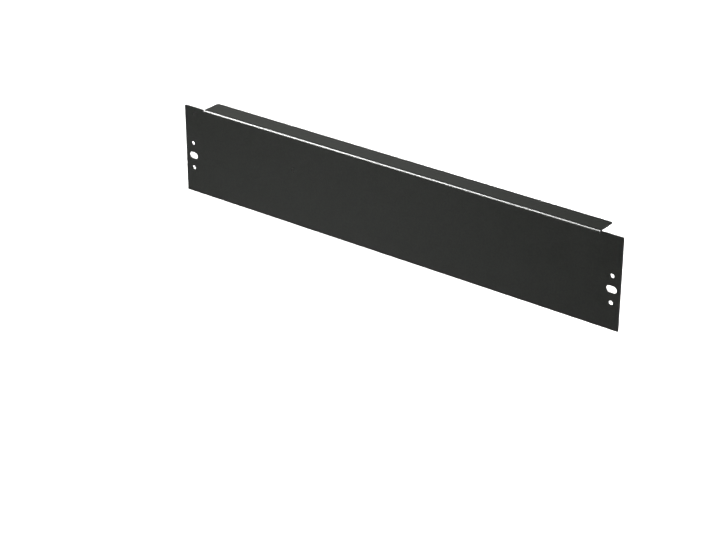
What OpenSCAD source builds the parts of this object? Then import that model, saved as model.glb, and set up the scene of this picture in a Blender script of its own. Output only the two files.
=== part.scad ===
// Flanged blanking panel for a 19-inch rack.
// One steel sheet is cut to its outline, pierced at both ears and folded once: the strip
// between the ears turns back 90 degrees along the top edge and stiffens the face.
// +X runs along the panel, the front face looks to -Y, +Z is up. The origin lies midway
// between the two rack slots, on the rear face that bears on the rack's rails.

/* [Panel] */
// Overall width, over both ears (19 inches)
panel_w = 482.6; // [300:0.1:620]
// Height of the panel, in rack units
rack_units = 2; // [2:1:6]
// Height of one rack unit
unit_h = 44.45; // [40:0.05:60]
// Height left free between this panel and its neighbours
height_gap = 0.8; // [0.2:0.1:2]
// Thickness of the sheet
sheet_t = 1.5; // [0.8:0.1:3]
// Rounding of the cut corners
corner_r = 0.5; // [0.2:0.1:3]

/* [Flange] */
// Width of each ear, from the panel's end to the end of the flange
ear_w = 23.3; // [18:0.1:40]
// Depth of the flange, from the front face to its rear edge
flange_depth = 21.5; // [12:0.1:60]
// Inside radius of the fold
fold_r = 1.5; // [0.5:0.1:4]
// Width of the relief slit between the fold and each ear
relief_w = 1.2; // [0.6:0.1:3]
// Length of the relief slit past the end of the fold
relief_past_fold = 1; // [0.5:0.1:3]

/* [Rack slots] */
// Distance from each end of the panel to the middle of its slot
slot_inset = 8.75; // [7:0.05:14]
// Distance from the top of the lowest rack unit down to the middle of the slots
slot_drop = 6.35; // [4:0.05:20]
// Overall length of a slot
slot_l = 10.3; // [8:0.1:12]
// Width of a slot
slot_w = 6.8; // [5:0.1:7.5]

/* [Fixing holes] */
// Distance between the upper and the lower fixing hole of an ear
hole_pitch = 25.4; // [16:0.1:30]
// Diameter of a fixing hole
hole_d = 4.2; // [2:0.1:5]

/* [Hidden] */
$fn = 96;

panel_h = rack_units * unit_h - height_gap;
bottom_z = height_gap / 2 + slot_drop - unit_h;
top_z = bottom_z + panel_h;
flange_w = panel_w - 2 * ear_w;
fold_outer_r = fold_r + sheet_t;
relief_h = fold_outer_r + relief_past_fold;
slot_x = panel_w / 2 - slot_inset;
// how far a cut runs past the edge it opens
overcut = 1;

// Rectangle on its bottom left corner, with its four corners rounded by true arcs
module rounded_rectangle(w, h, r) {
    translate([r, 0]) square([w - 2 * r, h]);
    translate([0, r]) square([w, h - 2 * r]);
    for (x = [r, w - r], y = [r, h - r])
        translate([x, y]) circle(r);
}

// Long hole with half-round ends, lying along X
module slot(l, w) {
    square([l - w, w], center = true);
    for (side = [-1, 1])
        translate([side * (l - w) / 2, 0]) circle(d = w);
}

// What is punched out of both ears: a rack slot each, with a fixing hole above and below it
module ear_piercing() {
    for (side = [-1, 1])
        translate([side * slot_x, 0]) {
            slot(slot_l, slot_w);
            for (up = [-1, 1])
                translate([0, up * hole_pitch / 2]) circle(d = hole_d);
        }
}

// What is cut out along the top edge: the length that folds back, and a slit with a
// half-round end beside it at each ear, so that the sheet does not tear at the fold
module fold_notch() {
    translate([-flange_w / 2 - relief_w, top_z - fold_outer_r])
        square([flange_w + 2 * relief_w, fold_outer_r + overcut]);
    for (side = [-1, 1])
        translate([side * (flange_w + relief_w) / 2, top_z - relief_h + relief_w / 2]) {
            circle(d = relief_w);
            translate([-relief_w / 2, 0]) square([relief_w, relief_h]);
        }
}

// Front face with both ears, upright in the XZ plane, its rear side on Y = 0
module face() {
    rotate([90, 0, 0])
        linear_extrude(sheet_t)
            difference() {
                translate([-panel_w / 2, bottom_z])
                    rounded_rectangle(panel_w, panel_h, corner_r);
                ear_piercing();
                fold_notch();
            }
}

// Section of the fold, a quarter ring, drawn with Y across and Z up, about its own centre
module fold_section() {
    intersection() {
        difference() {
            circle(fold_outer_r);
            circle(fold_r);
        }
        translate([-fold_outer_r, 0]) square(fold_outer_r);
    }
}

// Fold along the top of the face
module fold() {
    translate([-flange_w / 2, fold_outer_r - sheet_t, top_z - fold_outer_r])
        rotate([90, 0, 90])
            linear_extrude(flange_w)
                fold_section();
}

// Level strip behind the fold, with its two rear corners rounded
module flange() {
    strip_d = flange_depth - fold_outer_r;
    translate([-flange_w / 2, fold_outer_r - sheet_t, top_z - sheet_t])
        linear_extrude(sheet_t) {
            square([flange_w, strip_d - corner_r]);
            translate([corner_r, 0]) square([flange_w - 2 * corner_r, strip_d]);
            for (x = [corner_r, flange_w - corner_r])
                translate([x, strip_d - corner_r]) circle(corner_r);
        }
}

// The whole sheet, cut and folded
module blanking_panel() {
    color([0.18, 0.19, 0.18]) union() {
        face();
        fold();
        flange();
    }
}

blanking_panel();
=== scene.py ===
import math

import bmesh
import bpy
from mathutils import Matrix, Vector


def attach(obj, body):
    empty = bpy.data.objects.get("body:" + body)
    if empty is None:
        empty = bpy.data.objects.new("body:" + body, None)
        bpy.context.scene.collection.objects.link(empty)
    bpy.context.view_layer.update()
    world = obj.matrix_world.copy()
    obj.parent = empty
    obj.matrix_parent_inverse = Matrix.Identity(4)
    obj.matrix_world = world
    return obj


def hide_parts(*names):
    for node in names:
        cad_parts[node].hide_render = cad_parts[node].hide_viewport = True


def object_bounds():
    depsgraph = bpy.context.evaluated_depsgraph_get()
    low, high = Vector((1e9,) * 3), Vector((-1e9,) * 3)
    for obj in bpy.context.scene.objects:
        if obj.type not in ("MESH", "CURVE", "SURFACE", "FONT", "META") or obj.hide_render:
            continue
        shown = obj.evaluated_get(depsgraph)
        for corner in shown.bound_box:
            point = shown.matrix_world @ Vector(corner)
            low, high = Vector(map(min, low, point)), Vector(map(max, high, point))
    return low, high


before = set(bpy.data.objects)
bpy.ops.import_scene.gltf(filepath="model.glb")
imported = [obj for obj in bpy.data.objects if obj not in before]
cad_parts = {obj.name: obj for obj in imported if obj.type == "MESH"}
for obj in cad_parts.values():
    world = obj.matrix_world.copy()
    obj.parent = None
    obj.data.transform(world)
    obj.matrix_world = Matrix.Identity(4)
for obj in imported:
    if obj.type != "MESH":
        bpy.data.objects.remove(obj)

cad_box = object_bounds()


# ---- Blanking panel ----
# One sheet of 1.5 mm steel, cut, pierced and folded back once along the top edge, between
# two relief slits. It is powder coated black after the fold, so the coat runs over every
# edge. The rack's screws hold it by the two long slots.
mm = 0.001
coat_edge_r = 0.30 * mm     # the coat flows round a cut edge and leaves no sharp one
edge_segments = 3
cut_edge_angle = math.radians(40)
same_point = 0.001 * mm
same_plane = math.radians(0.5)
ear_w = 23.3 * mm
cad_slit_w = 1.2 * mm       # the CAD model's slit, beside each end of the fold
slit_w = 0.7 * mm           # the slit made here: too narrow to let light through to the front
slit_h = 4.0 * mm

coat_dark = "050604"
coat_light = "131611"
grain_contrast = (0.35, 0.65)
grit = 1.8 * mm             # coarser than real powder grain, which is too fine to show
grit_height = 0.03 * mm
cloud = 24 * mm             # slow drift in the coat's sheen, from the sweep of the spray gun
satin_roughness = (0.24, 0.36)


def linear(hex_colour):
    """sRGB hex to linear colour with alpha."""
    parts = [int(hex_colour[i:i + 2], 16) / 255 for i in (0, 2, 4)]
    return [c / 12.92 if c < 0.04045 else ((c + 0.055) / 1.055) ** 2.4 for c in parts] + [1.0]


def add_node(owner, kind, settings=None, links=None):
    """A node in a material or world, with its settings and the sockets that feed its own."""
    node = owner.node_tree.nodes.new(kind)
    for name, value in (settings or {}).items():
        if name in node.inputs:
            node.inputs[name].default_value = value
        else:
            setattr(node, name, value)
    for name, source in (links or {}).items():
        owner.node_tree.links.new(source, node.inputs[name])
    return node


# Polyester powder, sprayed dry and baked: jet black with a satin sheen. It gives the eye a
# fine dry grain on the flats, slow clouds of sheen, and one bright line along the fold.
powder_coat = bpy.data.materials.new("black_powder_coat")
powder_coat.use_nodes = True
powder_coat.node_tree.nodes.clear()
where = add_node(powder_coat, "ShaderNodeTexCoord")
grains = add_node(powder_coat, "ShaderNodeTexNoise",
                  {"Scale": 1 / grit, "Detail": 3.0, "Roughness": 0.6},
                  {"Vector": where.outputs["Object"]})
clouds = add_node(powder_coat, "ShaderNodeTexNoise",
                  {"Scale": 1 / cloud, "Detail": 2.0, "Roughness": 0.5},
                  {"Vector": where.outputs["Object"]})
shade = add_node(powder_coat, "ShaderNodeValToRGB", None, {"Fac": grains.outputs["Fac"]})
shade.color_ramp.elements[0].position = grain_contrast[0]
shade.color_ramp.elements[0].color = linear(coat_dark)
shade.color_ramp.elements[1].position = grain_contrast[1]
shade.color_ramp.elements[1].color = linear(coat_light)
satin = add_node(powder_coat, "ShaderNodeMapRange",
                 {"To Min": satin_roughness[0], "To Max": satin_roughness[1]},
                 {"Value": clouds.outputs["Fac"]})
pimples = add_node(powder_coat, "ShaderNodeBump",
                   {"Strength": 0.5, "Distance": grit_height},
                   {"Height": grains.outputs["Fac"]})
coat = add_node(powder_coat, "ShaderNodeBsdfPrincipled",
                {"IOR": 1.5},
                {"Base Color": shade.outputs["Color"],
                 "Roughness": satin.outputs["Result"],
                 "Normal": pimples.outputs["Normal"]})
add_node(powder_coat, "ShaderNodeOutputMaterial", None, {"Surface": coat.outputs["BSDF"]})

folded = bmesh.new()
folded.from_mesh(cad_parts["blanking_panel"].data)
bmesh.ops.remove_doubles(folded, verts=folded.verts, dist=same_point)
bmesh.ops.dissolve_limit(folded, angle_limit=same_plane, verts=folded.verts,
                         edges=folded.edges, delimit={"NORMAL"})
# each ear's inner edge moves towards the fold's end, which stays where it is
fold_end_x = cad_box[1][0] - ear_w
slit_foot_z = cad_box[1][2] - slit_h
for corner in folded.verts:
    into_slit = abs(corner.co.x) - fold_end_x
    across_slit = -same_point < into_slit < cad_slit_w + same_point
    if across_slit and corner.co.z > slit_foot_z - same_point:
        closed = fold_end_x + into_slit * slit_w / cad_slit_w
        corner.co.x = math.copysign(closed, corner.co.x)
cut_edges = [e for e in folded.edges if e.calc_face_angle(0.0) > cut_edge_angle]
bmesh.ops.bevel(folded, geom=cut_edges, offset=coat_edge_r, offset_type="OFFSET",
                affect="EDGES", segments=edge_segments, profile=0.5, material=-1,
                clamp_overlap=True)
panel_mesh = bpy.data.meshes.new("coated_panel")
folded.to_mesh(panel_mesh)
folded.free()
panel_mesh.shade_smooth()
panel = bpy.data.objects.new("coated_panel", panel_mesh)
bpy.context.scene.collection.objects.link(panel)
panel.data.materials.append(powder_coat)
flat_normals = panel.modifiers.new("flats_stay_flat", "WEIGHTED_NORMAL")
flat_normals.keep_sharp = True
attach(panel, "root")
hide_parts("blanking_panel")


# ---- Camera ----
# A long lens from the front right, a little above the panel.
view_azimuth = math.radians(37.32)
view_elevation = math.radians(26.68)
view_distance = 1830 * mm
aim = Vector((-17.8, -22.5, -49.5)) * mm
camera = bpy.data.objects.new("camera", bpy.data.cameras.new("camera"))
bpy.context.scene.collection.objects.link(camera)
camera.data.lens = 101.4
camera.data.clip_end = 50
back = Vector((math.cos(view_elevation) * math.sin(view_azimuth),
               -math.cos(view_elevation) * math.cos(view_azimuth),
               math.sin(view_elevation)))
camera.location = aim + view_distance * back
camera.rotation_euler = back.to_track_quat("Z", "Y").to_euler()
bpy.context.scene.camera = camera


# ---- Studio floor ----
# A wide round of matt pale paper, one metre below the panel, which is held by its slots and
# stands on nothing. It is the white ground behind the panel, and the face reflects it.
floor_z = cad_box[0][2] - 1.0
floor_radius = 7.0
paper_white = "d9d9d9"
glow_from, glow_to = 2.7, 4.4   # metres from the panel
glow_strength = 0.36
disc = bmesh.new()
bmesh.ops.create_circle(disc, cap_ends=True, segments=96, radius=floor_radius,
                        matrix=Matrix.Translation((0, 0, floor_z)))
floor_mesh = bpy.data.meshes.new("studio_floor")
disc.to_mesh(floor_mesh)
disc.free()
floor = bpy.data.objects.new("studio_floor", floor_mesh)
bpy.context.scene.collection.objects.link(floor)
paper = bpy.data.materials.new("matt_paper")
paper.use_nodes = True
matt = paper.node_tree.nodes["Principled BSDF"]
matt.inputs["Base Color"].default_value = linear(paper_white)
matt.inputs["Roughness"].default_value = 0.9
matt.inputs["Specular IOR Level"].default_value = 0.0
matt.inputs["Emission Color"].default_value = linear("ffffff")
# far out, the paper glows as pale as the wall, so that no dark floor shows behind the panel
# from its other sides
ground = add_node(paper, "ShaderNodeTexCoord")
distance = add_node(paper, "ShaderNodeVectorMath", {"operation": "LENGTH"})
paper.node_tree.links.new(ground.outputs["Object"], distance.inputs[0])
glow = add_node(paper, "ShaderNodeMapRange",
                {"From Min": glow_from, "From Max": glow_to,
                 "To Min": 0.0, "To Max": glow_strength,
                 "interpolation_type": "SMOOTHSTEP"},
                {"Value": distance.outputs["Value"]})
paper.node_tree.links.new(glow.outputs["Result"], matt.inputs["Emission Strength"])
floor.data.materials.append(paper)


# ---- Lamps ----
# Soft boxes with fabric grids, so that each one's light stays where it is meant to fall,
# and a pale wall of light all round the horizon.
def softbox(name, place, target, size, brightness, grid_angle):
    """A rectangular lamp at a place, turned to a target, its light kept within an angle."""
    lamp = bpy.data.lights.new(name, "AREA")
    lamp.shape = "RECTANGLE"
    lamp.size, lamp.size_y = size
    lamp.energy = brightness * math.pi * size[0] * size[1]
    lamp.spread = math.radians(grid_angle)
    holder = bpy.data.objects.new(name, lamp)
    bpy.context.scene.collection.objects.link(holder)
    holder.location = place
    turned = (Vector(place) - Vector(target)).to_track_quat("Z", "Y")
    holder.rotation_euler = turned.to_euler()


panel_middle = (0, 0, 0)
wall_top, ceiling_start = 0.08, 0.30    # heights on the sky's unit ball
wall_brightness, ceiling_brightness = 0.42, 0.16
# overhead and to the left, front to back: the bright line along the fold
softbox("strip", (-1.35, -0.60, 1.55), panel_middle, (0.45, 1.8), 16.0, 84)
# behind and to the left: the sheen on the flange
softbox("rear_box", (-2.6, 2.85, 1.8), panel_middle, (1.8, 1.4), 0.3, 180)
# behind: the white ground
softbox("back_box", (0.6, 4.2, 2.6), (-1.4, 1.95, floor_z), (2.0, 2.0), 9.5, 58)
# front left, low: the patch of floor that the face reflects
softbox("pool", (-2.3, -2.5, 0.3), (-1.40, -1.8, floor_z), (0.3, 0.3), 6.8, 34)

studio = bpy.data.worlds.new("studio")
bpy.context.scene.world = studio
studio.use_nodes = True
direction = add_node(studio, "ShaderNodeTexCoord")
rise = add_node(studio, "ShaderNodeSeparateXYZ", None,
                {"Vector": direction.outputs["Generated"]})
wall_to_ceiling = add_node(studio, "ShaderNodeMapRange",
                           {"From Min": wall_top, "From Max": ceiling_start,
                            "To Min": wall_brightness, "To Max": ceiling_brightness,
                            "interpolation_type": "SMOOTHSTEP"},
                           {"Value": rise.outputs["Z"]})
backdrop = studio.node_tree.nodes["Background"]
backdrop.inputs["Color"].default_value = linear("ffffff")
studio.node_tree.links.new(wall_to_ceiling.outputs["Result"], backdrop.inputs["Strength"])
bpy.context.scene.view_settings.view_transform = "Standard"
